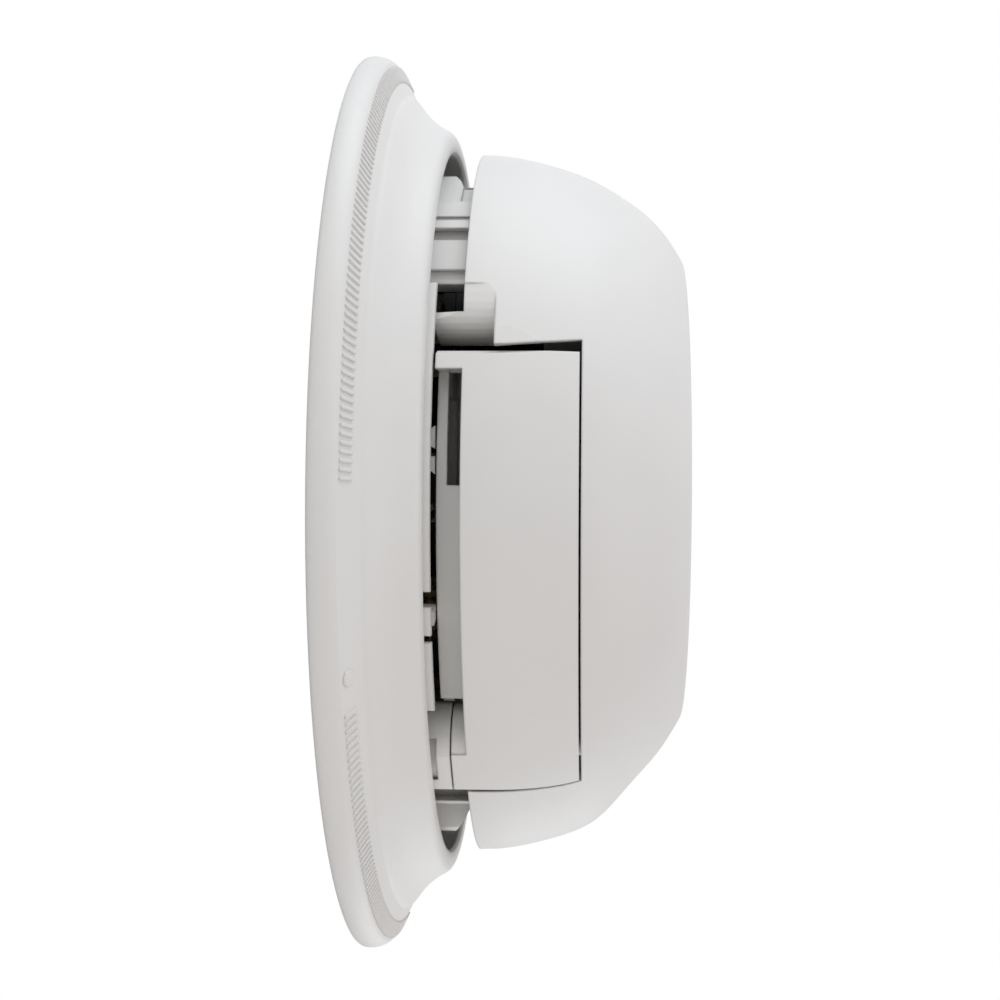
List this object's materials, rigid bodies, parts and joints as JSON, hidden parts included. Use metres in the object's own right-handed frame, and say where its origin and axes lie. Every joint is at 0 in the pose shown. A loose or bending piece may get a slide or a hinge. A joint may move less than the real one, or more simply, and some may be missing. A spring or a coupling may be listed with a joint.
{
  "type": "smoke alarm",
  "caption": "Round domed ceiling smoke alarm on a flared base with an annular smoke gap, a swing-out side battery drawer and a front test button.",
  "frame": {"origin": "centre of the mounting bracket's back face, which lies on the ceiling", "axes": "+Z along the alarm's axis from the ceiling into the room, -Y towards the battery drawer, +X from the drawer's free end to its hinge"},
  "size_m": [0.1424, 0.1424, 0.0514],
  "materials": {
    "white_plastic": "moulded ABS, fine spark-eroded texture, satin",
    "bracket_plastic": "moulded ABS, satin",
    "button_plastic": "moulded ABS, satin",
    "black_plastic": "black moulded plastic, matt",
    "board_laminate": "glass-epoxy board with green solder mask",
    "battery_sleeve": "lacquered steel can, no print",
    "battery_plate": "black end plate",
    "nickel": "nickel-plated steel",
    "spring_metal": "tinned phosphor bronze spring strip",
    "screw_steel": "zinc-plated steel",
    "screen_metal": "etched steel mesh, blackened",
    "brass_disc": "thin rolled brass",
    "piezo_ceramic": "silvered ceramic",
    "clear_lens": "clear moulded acrylic",
    "red_lens": "red diffused epoxy",
    "dark_epoxy": "dark tinted epoxy",
    "chip_epoxy": "black moulded epoxy",
    "capacitor_sleeve": "shrink sleeve",
    "film_epoxy": "dipped epoxy",
    "resistor_body": "lacquered carbon-film body",
    "copper_wire": "enamelled copper winding",
    "ferrite": "ferrite"
  },
  "bodies": {
    "bracket": {"mounting_bracket": "bracket_plastic"},
    "alarm": {"base_housing": "white_plastic", "front_cover": "white_plastic", "contact_block": "black_plastic", "contact_spring_positive": "spring_metal", "contact_spring_negative": "spring_metal", "circuit_board": "board_laminate", "board_screws": "screw_steel", "chamber_base": "black_plastic", "chamber_cover": "black_plastic", "insect_screen": "screen_metal", "infrared_emitter": "dark_epoxy", "photodiode": "dark_epoxy", "horn_base": "black_plastic", "horn_cap": "black_plastic", "piezo_disc": "brass_disc", "piezo_ceramic": "piezo_ceramic", "horn_contacts": "spring_metal", "indicator_led": "red_lens", "light_pipe": "clear_lens", "test_switch": "black_plastic", "detector_chip": "chip_epoxy", "chip_pins": "nickel", "electrolytic_capacitors": "capacitor_sleeve", "resistors": "resistor_body", "film_capacitors": "film_epoxy", "coil_winding": "copper_wire", "coil_core": "ferrite"},
    "drawer": {"battery_drawer": "white_plastic", "battery_can": "battery_sleeve", "battery_bottom_plate": "battery_plate", "battery_top_plate": "battery_plate", "battery_terminals": "nickel"},
    "button": {"test_button": "button_plastic"}
  },
  "joints": [
    {"name": "bracket_twist", "type": "hinge", "parent": "bracket", "child": "alarm", "pos_m": [0, 0, 0.003], "axis": [0, 0, 1], "range_deg": [0, 15]},
    {"name": "drawer_swing", "type": "hinge", "parent": "alarm", "child": "drawer", "pos_m": [0.0345, -0.0375, 0.0255], "axis": [0, 0, 1], "range_deg": [0, 80]},
    {"name": "test_button_press", "type": "slide", "parent": "alarm", "child": "button", "axis": [0, 0, -1], "range_m": [0, 0.001]}
  ]
}
